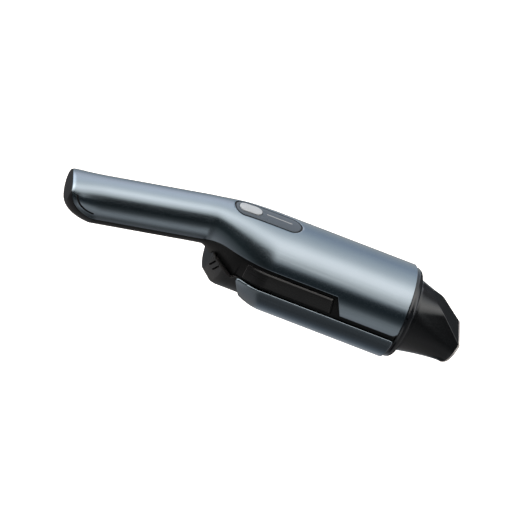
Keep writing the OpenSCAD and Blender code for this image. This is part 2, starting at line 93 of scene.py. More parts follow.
# Slots in the top: rear end, length and width.
PANEL = (-161.0, 59.3, 20.7)
BUTTON = (-157.0, 19.6, 11.3)
LENS = (-133.3, 22.5, 1.0)
PANEL_GAP = 1.2


def ease(t):
    return t * t * (3 - 2 * t)


def clamp(t):
    return min(1.0, max(0.0, t))


def mix(a, b, t):
    return a + (b - a) * t


def quarter(t):
    """The height of a quarter circle at t."""
    return math.sqrt(max(0.0, 1 - t * t))


def rounding(away, length, depth):
    """How far a round corner draws an edge back, at a distance from the edge's end."""
    return depth * (1 - quarter(clamp(1 - away / length)))


def top_line(x):
    return BARREL_R - SLOPE * BEND_LEN / 2 + SLOPE * (x - BEND_X)


def top_z(x):
    if x < BEND_X:
        return top_line(x) - rounding(x - END_X, END_TOP_LEN, END_TOP_DROP)
    if x < BEND_X + BEND_LEN:
        return top_line(x) - SLOPE * (x - BEND_X) ** 2 / (2 * BEND_LEN)
    return BARREL_R


def body_w(x):
    if x < FLARE_X:
        return HANDLE_R - rounding(x - END_X, END_TAPER_LEN, END_TAPER)
    return mix(HANDLE_R, BARREL_R, ease(clamp((x - FLARE_X) / FLARE_LEN) ** 0.8))


def bottom_z(x):
    if x < END_X + END_REACH:
        arc = END_AXIS - END_DROP * quarter((END_X + END_REACH - x) / (END_REACH + 1))
        return max(top_line(x) - 2 * HANDLE_R, arc)
    return top_z(x) - 2 * body_w(x)


def mid_z(x):
    return (top_z(x) + bottom_z(x)) / 2


def body_h(x):
    return (top_z(x) - bottom_z(x)) / 2


def handle_edge(x):
    return top_line(x) - HANDLE_R - EDGE_DROP


def edge_z(x):
    """The height of the upper shell's lower edge."""
    a, b = WINDOW_FRONT
    if x < END_X + END_REACH:
        arc_share = clamp((END_X + EDGE_ARC_LEN + 1 - x) / EDGE_ARC_LEN)
        return max(top_line(END_X) - EDGE_ARC_DROP * quarter(arc_share), handle_edge(x))
    if x < a:
        return mix(handle_edge(x), WINDOW_TOP, ease(clamp((x - EDGE_RISE_X) / EDGE_RISE_LEN)))
    if x < b:
        return mix(WINDOW_TOP, UPPER_LOW, (x - a) / (b - a))
    return UPPER_LOW + rounding(-x, CORNER_R, CORNER_R)


def sink(x):
    """How deep the black frame lies below the shells' surface."""
    return RECESS * ease(clamp((x - RECESS_X) / RECESS_LEN))


def edge_angle(x, z):
    return math.acos(max(-1.0, min(1.0, (z - mid_z(x)) / body_h(x))))


def body_point(x, a, d):
    """The point of the body's section at x, turned by a from the top and sunk by d."""
    behind = x - END_X
    lean = REAR_LEAN * max(0.0, math.cos(a)) ** 3
    lean *= clamp(behind / RIM)
    lean *= clamp(1 - (behind - RIM) / REAR_LEAN_LEN) ** 2
    return (x - lean, (body_w(x) - d) * math.sin(a), mid_z(x) + (body_h(x) - d) * math.cos(a))


def side_y(x, z, d):
    """How far out the body's side lies at (x, z), sunk by d."""
    return (body_w(x) - d) * quarter((z - mid_z(x)) / (body_h(x) - d))


def top_point(x, y, d):
    """The point of the body's upper surface above (x, y), sunk by d."""
    return (x, y, mid_z(x) + (body_h(x) - d) * quarter(y / (body_w(x) - d)))


# ---------- mesh building ----------


def steps(a, b, n, hold=()):
    """n even steps from a to b, with extra stations at the given distances from both ends."""
    way = 1 if b > a else -1
    values = [mix(a, b, i / n) for i in range(n + 1)]
    gap = max(hold) * 1.6 if hold else 0
    middle = [v for v in values if gap <= abs(v - a) and gap <= abs(v - b)]
    return [a] + [a + way * h for h in hold] + middle + [b - way * h for h in reversed(hold)] + [b]


def skin(outer, inner, keep=None, closed=False):
    """A closed wall between two grids of points. keep(i, j) says which cells it covers."""
    n, m = len(outer), len(outer[0])
    count = n * m
    points = [p for row in outer for p in row] + [p for row in inner for p in row]
    quads = []
    for i in range(n - 1):
        for j in range(m if closed else m - 1):
            if keep is None or keep(i, j):
                e = (j + 1) % m
                quads.append((i * m + j, i * m + e, (i + 1) * m + e, (i + 1) * m + j))
    edges = {(q[k], q[(k + 1) % 4]) for q in quads for k in range(4)}
    rim = [(b, a, a + count, b + count) for a, b in edges if (b, a) not in edges]
    inside = [tuple(v + count for v in reversed(q)) for q in quads]
    return points, quads + inside + sorted(rim)


def loft(rows, joined=False):
    """Closed rows of points joined in turn; the last joins the first if joined."""
    n, m = len(rows), len(rows[0])
    faces = []
    for i in range(n if joined else n - 1):
        for j in range(m):
            e, k = (j + 1) % m, (i + 1) % n
            faces.append((i * m + j, i * m + e, k * m + e, k * m + j))
    return [p for row in rows for p in row], faces


def turns(n):
    """n angles evenly round a circle."""
    return [2 * math.pi * k / n for k in range(n)]


def around(x, r, n):
    return [(x, r * math.sin(t), r * math.cos(t)) for t in turns(n)]


def circle(centre, across, other, r, n):
    """n points round a centre, in the plane of two unit vectors."""
    return [tuple(centre + (across * math.cos(t) + other * math.sin(t)) * r) for t in turns(n)]


def new_object(name, shape, mm=True):
    points, faces = shape
    mesh = bpy.data.meshes.new(name)
    mesh.from_pydata([to_row(p) if mm else p for p in points], [], faces)
    bm = bmesh.new()
    bm.from_mesh(mesh)
    bmesh.ops.remove_doubles(bm, verts=bm.verts, dist=2e-6)
    bmesh.ops.dissolve_degenerate(bm, edges=bm.edges, dist=1e-7)
    bmesh.ops.delete(bm, geom=[v for v in bm.verts if not v.link_faces], context="VERTS")
    bmesh.ops.recalc_face_normals(bm, faces=bm.faces)
    bm.to_mesh(mesh)
    bm.free()
    o = bpy.data.objects.new(name, mesh)
    bpy.context.scene.collection.objects.link(o)
    return o


def settle(o):
    """Applies the object's modifiers to its mesh."""
    graph = bpy.context.evaluated_depsgraph_get()
    mesh = bpy.data.meshes.new_from_object(o.evaluated_get(graph))
    mesh.name = o.name
    o.modifiers.clear()
    o.data = mesh


def round_edges(o, width, angle=35, segments=3):
    m = o.modifiers.new("edges", "BEVEL")
    m.width = width * MM
    m.segments = segments
    m.limit_method = "ANGLE"
    m.angle_limit = math.radians(angle)
    m.use_clamp_overlap = False
    m.miter_outer = "MITER_ARC"
    settle(o)


def carve(o, *shapes):
    for k, shape in enumerate(shapes):
        tool = new_object(f"{o.name}_cut{k}", shape)
        m = o.modifiers.new("cut", "BOOLEAN")
        m.operation = "DIFFERENCE"
        m.solver = "EXACT"
        m.object = tool
        settle(o)
        bpy.data.objects.remove(tool)


def finish_piece(o, body, slot, nodes=(), sharp=32, look=None):
    """Smooths and paints a piece, and says what it rides on and which nodes it replaces."""
    o.data.polygons.foreach_set("use_smooth", [True] * len(o.data.polygons))
    o.data.set_sharp_from_angle(angle=math.radians(sharp))
    o.data.materials.clear()
    o.data.materials.append(look or MATERIALS[slot])
    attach(o, body)
    if nodes:
        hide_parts(*nodes)


# ---------- materials ----------


class Nodes:
    """Short calls for a material's node tree. Textures read the object's own coordinates, in metres."""

    def __init__(self, name):
        self.material = bpy.data.materials.new(name)
        self.material.use_nodes = True
        self.tree = self.material.node_tree
        self.shader = self.tree.nodes["Principled BSDF"]
        self.place = self.add("ShaderNodeTexCoord").outputs["Object"]

    def add(self, kind, **settings):
        node = self.tree.nodes.new(kind)
        for key, value in settings.items():
            setattr(node, key, value)
        return node

    def link(self, a, b):
        self.tree.links.new(a, b)

    def stretched(self, scale):
        node = self.add("ShaderNodeMapping")
        node.inputs["Scale"].default_value = scale
        self.link(self.place, node.inputs["Vector"])
        return node.outputs["Vector"]

    def noise(self, scale, detail=3.0, rough=0.5, place=None):
        node = self.add("ShaderNodeTexNoise")
        node.inputs["Scale"].default_value = scale
        node.inputs["Detail"].default_value = detail
        node.inputs["Roughness"].default_value = rough
        self.link(place or self.place, node.inputs["Vector"])
        return node.outputs["Fac"]

    def cells(self, scale, feature="F1", place=None):
        node = self.add("ShaderNodeTexVoronoi", feature=feature)
        node.inputs["Scale"].default_value = scale
        self.link(place or self.place, node.inputs["Vector"])
        return node.outputs["Distance"]

    def ramp(self, value, stops):
        node = self.add("ShaderNodeValToRGB")
        ramp = node.color_ramp
        while len(ramp.elements) < len(stops):
            ramp.elements.new(0.5)
        for element, (at, colour) in zip(ramp.elements, stops):
            element.position = at
            grey = isinstance(colour, (int, float))
            element.color = (colour,) * 3 + (1,) if grey else (*colour, 1)
        self.link(value, node.inputs["Fac"])
        return node.outputs["Color"]

    def span(self, value, low, high):
        return self.ramp(value, [(0.3, low), (0.7, high)])

    def blend(self, amount, a, b, mode="MIX"):
        """Mixes colours a and b, each a link or a colour, by a link or a number."""
        node = self.add("ShaderNodeMix", data_type="RGBA", blend_type=mode)
        for socket, value in ((0, amount), (6, a), (7, b)):
            if isinstance(value, bpy.types.NodeSocket):
                self.link(value, node.inputs[socket])
            else:
                node.inputs[socket].default_value = value if socket == 0 else (*value, 1)
        return node.outputs[2]

    def edges(self, low=0.52, high=0.6, grain=None):
        """White on outer edges: a mask for wear, and on the lever for a painted edge highlight."""
        point = self.add("ShaderNodeNewGeometry").outputs["Pointiness"]
        wear_and_highlight = self.ramp(point, [(low, 0.0), (high, 1.0)])
        if grain is None:
            return wear_and_highlight
        return self.blend(1.0, wear_and_highlight, self.ramp(grain, [(0.4, 0.2), (0.65, 1.0)]), "MULTIPLY")

    def bump(self, *layers):
        """Bump from (height, strength, distance in metres) layers."""
        normal = None
        for height, strength, distance in layers:
            node = self.add("ShaderNodeBump")
            node.inputs["Strength"].default_value = strength
            node.inputs["Distance"].default_value = distance
            self.link(height, node.inputs["Height"])
            if normal is not None:
                self.link(normal, node.inputs["Normal"])
            normal = node.outputs["Normal"]
        self.link(normal, self.shader.inputs["Normal"])

    def set(self, **values):
        for key, value in values.items():
            socket = self.shader.inputs[key.replace("_", " ").title().replace("Ior", "IOR")]
            if isinstance(value, bpy.types.NodeSocket):
                self.link(value, socket)
            elif isinstance(value, tuple):
                socket.default_value = (*value, 1)
            else:
                socket.default_value = value


COOL = (0.8, 0.909, 1.0)           # takes the softbox's warmth out of black surfaces


def scaled(colour, k):
    return tuple(min(1.0, c * k) for c in colour)


def paint():
    """Satin metallic paint: fine flake, soft mottling, faint hair lines along the body."""
    n = Nodes("shell_blue")
    base = (0.255, 0.325, 0.39)
    flake = n.noise(4200, 2.0, 0.7)
    cloud = n.noise(28, 4.0)
    hair = n.noise(60, 5.0, 0.7, n.stretched((0.25, 18, 18)))
    colour = n.ramp(flake, [(0.3, scaled(base, 0.95)), (0.5, base), (0.72, scaled(base, 1.06))])
    colour = n.blend(n.ramp(cloud, [(0.35, 0.0), (0.7, 0.35)]), colour, scaled(base, 0.9))
    colour = n.blend(n.edges(0.53, 0.62, cloud), colour, scaled(base, 1.35))
    rough = n.blend(n.ramp(hair, [(0.35, 0.0), (0.7, 1.0)]), (0.19,) * 3, (0.24,) * 3)
    n.set(base_color=colour, metallic=1.0, roughness=rough, coat_weight=0.25, coat_roughness=0.18)
    n.bump((flake, 0.02, 0.00004), (hair, 0.02, 0.00005))
    return n.material


def moulded(name, base, rough, grain=2600, depth=0.25, wear_and_highlight=1.9, gloss=0.5):
    """Moulded plastic with a spark-eroded grain, uneven gloss and polished edges."""
    n = Nodes(name)
    fine = n.noise(grain, 3.0, 0.6)
    pits = n.cells(grain * 0.7)
    cloud = n.noise(35, 4.0)
    colour = n.span(fine, scaled(base, 0.8), scaled(base, 1.25))
    colour = n.blend(n.ramp(cloud, [(0.4, 0.0), (0.7, 0.5)]), colour, scaled(base, 0.82))
    colour = n.blend(n.edges(grain=cloud), colour, scaled(base, wear_and_highlight))
    roughness = n.span(cloud, rough - 0.05, rough + 0.06)
    n.set(base_color=colour, roughness=roughness, specular_ior_level=gloss,
          specular_tint=COOL)
    n.bump((pits, depth, 0.00005), (fine, depth * 0.6, 0.00004))
    return n.material


def glossy(name, base, rough, coat=0.5, wear_and_highlight=1.7, shine=0.5):
    """Polished plastic: nearly smooth, with fine wipe marks and dust in its gloss."""
    n = Nodes(name)
    wipe = n.noise(120, 6.0, 0.75, n.stretched((0.4, 3, 3)))
    ripple = n.noise(90, 2.0)
    cloud = n.noise(30, 3.0)
    colour = n.ramp(cloud, [(0.35, scaled(base, 0.85)), (0.7, scaled(base, 1.2))])
    # Lighter outer edges: slight wear at small gains; at the lever's large gain a painted highlight.
    colour = n.blend(n.edges(0.52, 0.62, cloud), colour, scaled(base, wear_and_highlight))
    roughness = n.ramp(wipe, [(0.4, rough - 0.02), (0.7, rough + 0.05)])
    n.set(base_color=colour, roughness=roughness, coat_weight=coat, coat_roughness=0.08,
          specular_tint=COOL, coat_tint=COOL, specular_ior_level=shine)
    n.bump((ripple, 0.03, 0.0001))
    return n.material


def metal(name, base, rough, stretch=(1, 14, 14), scale=160, wear_and_highlight=1.25):
    """Bare metal with drawn or turned lines."""
    n = Nodes(name)
    lines = n.noise(scale, 5.0, 0.7, n.stretched(stretch))
    cloud = n.noise(60, 3.0)
    colour = n.span(lines, scaled(base, 0.82), scaled(base, 1.08))
    colour = n.blend(n.ramp(cloud, [(0.45, 0.0), (0.8, 0.4)]), colour, scaled(base, 0.8))
    colour = n.blend(n.edges(grain=cloud), colour, scaled(base, wear_and_highlight))
    roughness = n.span(lines, rough - 0.06, rough + 0.08)
    n.set(base_color=colour, metallic=1.0, roughness=roughness)
    n.bump((lines, 0.15, 0.00003))
    return n.material


def rubber(name, base):
    n = Nodes(name)
    fine = n.noise(3200, 4.0, 0.7)
    cloud = n.noise(45, 4.0)
    colour = n.span(cloud, scaled(base, 0.75), scaled(base, 1.4))
    n.set(base_color=colour, roughness=n.span(fine, 0.6, 0.8), specular_ior_level=0.4)
    n.bump((fine, 0.35, 0.00005))
    return n.material


def smoke():
    n = Nodes("cup_smoke")
    wipe = n.noise(140, 5.0, 0.7, n.stretched((0.5, 3, 3)))
    cloud = n.noise(40, 3.0)
    n.set(base_color=n.span(cloud, (0.14, 0.15, 0.16), (0.19, 0.2, 0.21)),
          roughness=n.ramp(wipe, [(0.4, 0.06), (0.75, 0.16)]), transmission_weight=0.75, ior=1.49)
    n.bump((cloud, 0.02, 0.0001))
    return n.material


def circuit():
    n = Nodes("circuit_board")
    tracks = n.cells(900, "DISTANCE_TO_EDGE")
    grain = n.noise(1800)
    green = n.ramp(tracks, [(0.03, (0.02, 0.11, 0.05)), (0.07, (0.008, 0.05, 0.022))])
    colour = n.blend(n.ramp(n.cells(500), [(0.1, 0.85), (0.14, 0.0)]), green, (0.55, 0.5, 0.4))
    n.set(base_color=colour, roughness=n.span(grain, 0.3, 0.45))
    n.bump((tracks, 0.3, 0.00004))
    return n.material


def wrap():
    n = Nodes("cell_wrap")
    film = n.noise(90, 5.0, 0.6, n.stretched((1, 4, 4)))
    colour = n.span(film, (0.02, 0.16, 0.12), (0.03, 0.24, 0.17))
    n.set(base_color=colour, roughness=n.span(film, 0.25, 0.38), coat_weight=0.3)
    n.bump((film, 0.12, 0.0002))
    return n.material


def winding():
    """Lacquered copper wire, turn beside turn, darker between the turns: painted shade in the gaps."""
    n = Nodes("copper_winding")
    wave = n.add("ShaderNodeTexWave", bands_direction="Y")
    wave.inputs["Scale"].default_value = 700
    wave.inputs["Distortion"].default_value = 1.5
    n.link(n.place, wave.inputs["Vector"])
    turns = wave.outputs["Fac"]
    # Dark brown in the wave's low bands: painted shade between the turns.
    colour = n.ramp(turns, [(0.1, (0.16, 0.05, 0.02)), (0.6, (0.62, 0.27, 0.12))])
    n.set(base_color=colour, metallic=1.0, roughness=n.ramp(turns, [(0.2, 0.45), (0.8, 0.28)]))
    n.bump((turns, 0.6, 0.0001))
    return n.material


def foam():
    n = Nodes("foam")
    cells = n.cells(1500)
    fine = n.noise(2200, 4.0)
    # Darker at the cells' middles: painted shade in the pores.
    n.set(base_color=n.ramp(cells, [(0.1, (0.01, 0.01, 0.011)), (0.7, (0.06, 0.06, 0.062))]),
          roughness=n.span(fine, 0.85, 1.0), specular_ior_level=0.2)
    n.bump((cells, 0.9, 0.0003))
    return n.material


def paper():
    n = Nodes("filter_paper")
    fibres = n.noise(1500, 6.0, 0.8, n.stretched((1, 3, 3)))
    cloud = n.noise(70, 3.0)
    colour = n.span(fibres, (0.62, 0.61, 0.57), (0.82, 0.81, 0.78))
    colour = n.blend(n.ramp(cloud, [(0.45, 0.0), (0.8, 0.3)]), colour, (0.55, 0.53, 0.48))
    n.set(base_color=colour, roughness=n.span(fibres, 0.85, 0.95), sheen_weight=0.1)
    n.bump((fibres, 0.4, 0.00008))
    return n.material


def perforated():
    """Etched steel mesh: rows of fine round holes, painted near black: painted shade in the holes."""
    n = Nodes("mesh_steel")
    holes = n.add("ShaderNodeTexVoronoi", feature="F1")
    holes.inputs["Scale"].default_value = 900
    holes.inputs["Randomness"].default_value = 0.0
    n.link(n.place, holes.inputs["Vector"])
    dots = holes.outputs["Distance"]
    lines = n.noise(160, 4.0, 0.6, n.stretched((1, 10, 10)))
    sheet = n.span(lines, (0.42, 0.42, 0.43), (0.58, 0.58, 0.6))
    n.set(base_color=n.blend(n.ramp(dots, [(0.27, 1.0), (0.33, 0.0)]), sheet, (0.01, 0.01, 0.01)),
          metallic=n.ramp(dots, [(0.27, 0.0), (0.33, 1.0)]),
          roughness=n.span(lines, 0.25, 0.4))
    n.bump((dots, 0.4, 0.0001))
    return n.material


def lens():
    n = Nodes("lens_white")
    haze = n.noise(900, 3.0)
    n.set(base_color=n.span(haze, (0.3, 0.33, 0.35), (0.36, 0.39, 0.42)),
          roughness=n.span(haze, 0.3, 0.42), subsurface_weight=0.1)
    n.shader.inputs["Subsurface Radius"].default_value = (0.0005, 0.0005, 0.0005)
    n.bump((haze, 0.1, 0.00003))
    return n.material


MATERIALS = {
    "shell_blue": paint(),
    "black_plastic": moulded("black_plastic", (0.013, 0.013, 0.014), 0.4),
    "panel_gloss": moulded("panel_gloss", (0.06, 0.078, 0.1), 0.3, grain=3200, depth=0.1, wear_and_highlight=1.4),
    "black_rubber": rubber("black_rubber", (0.008, 0.008, 0.009)),
    "button_grey": moulded("button_grey", (0.39, 0.435, 0.475), 0.4, grain=3000, depth=0.12, wear_and_highlight=1.15),
    "lens_white": lens(),
    "circuit_board": circuit(),
    "cell_wrap": wrap(),
    "steel": metal("steel", (0.56, 0.57, 0.58), 0.3),
    "magnet": moulded("magnet", (0.035, 0.034, 0.034), 0.55, grain=1500, depth=0.5, wear_and_highlight=2.5),
    "brass_parts": metal("brass_parts", (0.72, 0.5, 0.2), 0.3),
    "copper_winding": winding(),
    "fan_plastic": moulded("fan_plastic", (0.02, 0.022, 0.025), 0.45, grain=2000),
    "grey_plastic": moulded("grey_plastic", (0.6, 0.61, 0.62), 0.42, grain=2200, wear_and_highlight=1.2),
    "foam": foam(),
    # The lever's outer edges are painted 36 times lighter than its base: a painted highlight along its top
    # edge.
    "lever_gloss": glossy("lever_gloss", (0.01, 0.01, 0.0105), 0.28, coat=0.15, wear_and_highlight=36.0, shine=0.3),
    "cup_smoke": smoke(),
    "ring_gloss": glossy("ring_gloss", (0.01, 0.011, 0.013), 0.15),
    "filter_paper": paper(),
    "mesh_steel": perforated(),
    "nozzle_gloss": glossy("nozzle_gloss", (0.01, 0.01, 0.011), 0.2),
}
# Two copies of the black plastic with painted light: a darker, duller one paints shade on the frame, as in
# the side recess, and a lighter, glossier one paints light on the rear cover.
FRAME_BLACK_PAINTED_SHADE = moulded("black_plastic_frame_painted_shade", (0.01, 0.01, 0.0105), 0.4, gloss=0.26)
COVER_BLACK_PAINTED_LIGHT = moulded("black_plastic_cover_painted_light", (0.022, 0.022, 0.023), 0.38, gloss=0.75)

for part in frame["record"]["subparts"]:
    node = frame["nodes"][part["node"]]
    node.data.materials.clear()
    node.data.materials.append(MATERIALS[part["material_slot"]])

# ---------- shells ----------

REAR_STEPS = (0, 0.8, 1.4, 2.1, 3, 4, 5, 6.2, 7.6, 9, 10.5, 12, 13.5)
CORNER_TURNS = (0, 12, 24, 36, 47, 57, 67, 78, 90)
EDGE_HOLD = (0.9, 1.5)


def upper_shell():
    start = END_X + RIM
    a, b = WINDOW_FRONT
    rows = [start + d for d in REAR_STEPS] + steps(start + 15, a - 3, 110)
    rows += [a - 2, a - 1, a - 0.3, a + 0.3] + steps(a + 1, b - 1, 10)
    rows += [b - 0.3, b + 0.3, b + 1, b + 2] + steps(b + 4, -CORNER_R - 1, 24)
    rows += [-CORNER_R + CORNER_R * math.sin(math.radians(t)) for t in CORNER_TURNS]
    cols = [c / 84 for c in steps(-84, 84, 84, (1.3, 2.4))]
    grids = []
    for d in (0, WALL):
        grids.append([[body_point(x, edge_angle(x, edge_z(x)) * c, d) for c in cols] for x in rows])
    o = new_object("shell_top", skin(*grids))
    round_edges(o, 0.45)
    carve(o, opening(*PANEL, 6.0, 0.4))
    for side in (-1, 1):
        carve(o, groove(side, 1.5, 0.5, -1.2))
    finish_piece(o, "body", "shell_blue", ["upper_shell"])


def stadium(x0, length, width, offset=0.0, caps=24, sides=20):
    """Outline of a slot with round ends, as (x, y) points."""
    r, half = width / 2, (length - width) / 2
    cx = x0 + length / 2
    out = []
    for side in (1, -1):
        for k in range(caps + 1):
            a = math.radians(180 * k / caps - 90 * side)
            out.append((cx + side * half + (r + offset) * math.cos(a), (r + offset) * math.sin(a)))
        for k in range(1, sides):
            x = mix(cx + side * half, cx - side * half, k / sides)
            out.append((x, side * (r + offset)))
    return out


def scale_ring(x0, length, width, f):
    """The stadium's outline drawn in towards its middle line by the factor f."""
    half = (length - width) / 2
    cx = x0 + length / 2
    ring = []
    for x, y in stadium(x0, length, width):
        mx = max(cx - half, min(cx + half, x))
        ring.append((mx + (x - mx) * f, y * f))
    return ring


def opening(x0, length, width, depth, flare):
    """A cutter for a slot through the body's top, with a flared mouth."""
    levels = ((0, depth), (0, flare + 0.1), (flare * 0.35, flare * 0.3), (flare * 1.2, -0.05),
              (flare * 1.4, -3))
    rings = []
    for offset, sunk in levels:
        outline = [top_point(x, y, 0) for x, y in stadium(x0, length, width, offset)]
        rings.append([(x, y, z - sunk) for x, y, z in outline])
    middle = scale_ring(x0, length, width, 0.0)
    low, high = ([(x, y, p[2]) for (x, y), p in zip(middle, ring)] for ring in (rings[0], rings[-1]))
    return loft([low] + rings + [high])


def plate(x0, length, width, d_out, d_in, crown=0.0):
    """A slot-shaped plate that follows the body's top between two depths."""
    fractions = [0, 0.25, 0.5, 0.7, 0.84, 0.92, 1]
    rows = []
    for f in fractions:
        sunk = d_out + crown * f * f
        rows.append([top_point(x, y, sunk) for x, y in scale_ring(x0, length, width, f)])
    for f in reversed(fractions):
        rows.append([top_point(x, y, d_in) for x, y in scale_ring(x0, length, width, f)])
    return loft(rows)


def band(x0, length, width, inset, d_out, d_in):
    """A ring-shaped strip along a slot's outline."""
    outer, inner = stadium(x0, length, width), stadium(x0, length, width, -inset)
    rows = [[top_point(x, y, d) for x, y in ring] for ring, d in
            ((outer, d_out), (inner, d_out), (inner, d_in), (outer, d_in))]
    return loft(rows, joined=True)


GROOVE = [(-285.2, 4.6), (-283.6, 1.9), (-280.2, -1.7), (-275.9, -4.1), (-271.6, -5.5), (-265.8, -6.0)]


def smooth(a, b, c, d, u):
    """The smooth curve from b to c at u, where a comes before them and d after."""
    bend = (2 * a - 5 * b + 4 * c - d) * u * u
    return 0.5 * (2 * b + (c - a) * u + bend + (3 * b - a - 3 * c + d) * u ** 3)


def groove_path(n=36):
    """The handle's side groove in the side view, as a smooth line through its points."""
    points = [GROOVE[0]] + GROOVE + [GROOVE[-1]]
    spans = len(GROOVE) - 1
    out = []
    for k in range(n + 1):
        t = k / n * spans
        i = min(int(t), spans - 1)
        out.append(tuple(smooth(*values, t - i) for values in zip(*points[i:i + 4])))
    return out


def groove(side, width, rise, floor):
    """A swept bar along the groove's line, from rise above the surface to floor below it."""
    path = groove_path()
    rows = []
    for k, (x, z) in enumerate(path):
        a, b = path[max(0, k - 1)], path[min(len(path) - 1, k + 1)]
        dx, dz = b[0] - a[0], b[1] - a[1]
        size = math.hypot(dx, dz)
        across = (-dz / size, dx / size)
        taper = quarter(clamp(1 - min(k, len(path) - 1 - k) / 1.5) * 0.97)
        ring = []
        for w, d in ((-1, rise), (1, rise), (1, floor), (-1, floor)):
            px = x + across[0] * w * width / 2 * taper
            pz = z + across[1] * w * width / 2 * taper
            ring.append((px, side * side_y(px, pz, -d), pz))
        rows.append(ring)
    points, faces = loft(rows)
    last = len(points) - 4
    return points, faces + [(3, 2, 1, 0), (last, last + 1, last + 2, last + 3)]


upper_shell()
for side, name in ((1, "left"), (-1, "right")):
    strip = new_object(f"handle_arc_{name}", groove(side, 1.46, -0.8, -1.15))
    finish_piece(strip, "body", "black_rubber")


def lower_shell():
    brim, bottom = LOWER_TOP - 0.8, -AXIS_Z / MM
    rear_x, rake, tuck, tuck_len = -141, 14 / 30, 5.2, 20
    rear_corner, front_corner = 5.0, 2.6
    a0 = math.acos(brim / BARREL_R)

    def back(z):
        """The slanted rear edge, with a rounded upper corner."""
        return rear_x + (brim - z) * rake + rounding(brim - z, rear_corner, rear_corner)

    def front(a):
        """The front edge, with rounded upper corners."""
        away = BARREL_R * min(a - a0, 2 * math.pi - a0 - a)
        return -SEAM - rounding(away, front_corner, front_corner)

    near = [0, 0.9, 1.5, 2.2, 3, 4, 5, 6.2, 7.5, 9, 11, 13, 15, 17.5, 20]
    first, last = math.degrees(a0), 360 - math.degrees(a0)
    cols = [math.radians(c) for c in steps(first, last, 80, (0.6, 1.2, 2.0, 3.0))]
    grids = []
    for d in (0, WALL):
        columns = []
        for a in cols:
            x0 = back(BARREL_R * math.cos(a))
            column = []
            for x in [x0 + gap for gap in near] + steps(x0 + 22.5, front(a), 41, (0.9,)):
                r = BARREL_R - tuck * clamp(1 - (x - x0) / tuck_len) ** 1.8 - d
                floor_z = bottom + (0.8 if d else 0.0)
                column.append((x, r * math.sin(a), max(r * math.cos(a), floor_z)))
            columns.append(column)
        grids.append(list(zip(*columns)))
    o = new_object("shell_bottom", skin(*grids))
    round_edges(o, 0.8, segments=4)
    finish_piece(o, "body", "shell_blue", ["lower_shell"])


lower_shell()

# ---------- handle frame and its end cap ----------

CHEEK = ((-163.5, 1.6), (-141.5, -9.9))      # the ends of the frame's slanted lower edge
SCREWS = (-70, -20)                          # along the handle, from the bend


def frame_angle(x, z):
    h = body_h(x) - sink(x)
    return math.acos(max(-1.0, min(1.0, (z - mid_z(x)) / h)))


def handle_frame():
    (xa, za), (xb, zb) = CHEEK
    low = LOWER_TOP + SEAM
    rows = [(x, None) for x in steps(CAP_X + SEAM, xa, 60, EDGE_HOLD)]
    rows += [(x, mix(za, zb, (x - xa) / (xb - xa))) for x in steps(xa, xb, 14)[1:]]
    rows += [(x, low) for x in steps(xb + 0.01, SPLIT_X - SEAM, 20, EDGE_HOLD)]
    split = frame_angle(xa, za)
    wing, base = 26, 40
    grids = []
    for d in (0, FRAME_WALL):
        grid = []
        for x, z in rows:
            a = edge_angle(x, edge_z(x) - SEAM)
            b = split if z is None else frame_angle(x, z)
            angles = [mix(a, b, k / wing) for k in range(wing)]
            angles += [mix(b, 2 * math.pi - b, k / base) for k in range(base)]
            angles += [mix(2 * math.pi - b, 2 * math.pi - a, k / wing) for k in range(wing + 1)]
            grid.append([body_point(x, t, d + sink(x)) for t in angles])
        grids.append(grid)
    first_open = next(i for i, (x, z) in enumerate(rows) if x >= xa - 1e-6)

    def keep(i, j):
        return i < first_open or not wing <= j < wing + base

    o = new_object("handle_underside", skin(*grids, keep=keep))
    round_edges(o, 0.35)
    axis = Vector((-math.sin(HANDLE_TILT), 0, math.cos(HANDLE_TILT)))
    along = Vector((math.cos(HANDLE_TILT), 0, math.sin(HANDLE_TILT)))
    middle = Vector((BEND_X, 0, top_line(BEND_X) - HANDLE_R))
    sideways = axis.orthogonal().normalized()
    other = axis.cross(sideways)
    well = ((-26, 0), (-26, 3.5), (-21.2, 3.3), (-19.0, 2.9), (-15, 2.9), (-15, 0))
    for x in SCREWS:
        foot = middle + along * x
        carve(o, loft([circle(foot + axis * h, sideways, other, r, 40) for h, r in well]))
    # The frame takes the darker copy of the black plastic: painted shade.
    finish_piece(o, "body", "black_plastic", ["handle_frame"], look=FRAME_BLACK_PAINTED_SHADE)


handle_frame()


def port_cutter():
    """A cutter for the charging socket's opening, square to the slanted face under the end."""
    x, tilt, half = -284.0, math.radians(42), 2.95
    origin = Vector((x, 0, bottom_z(x)))
    inward = Vector((math.cos(tilt), 0, math.sin(tilt)))
    wide = Vector((0, 1, 0))
    tall = inward.cross(wide)
    rows = []
    for h, r in ((-5, 0), (-5, 2.6), (-0.1, 2.05), (0.5, 1.75), (4, 1.75), (4, 0)):
        ring = []
        for t in turns(48):
            c, s = math.cos(t), math.sin(t)
            y = math.copysign(half, c) + c * r
            ring.append(tuple(origin + inward * h + wide * y + tall * s * r))
        rows.append(ring)
    return loft(rows)


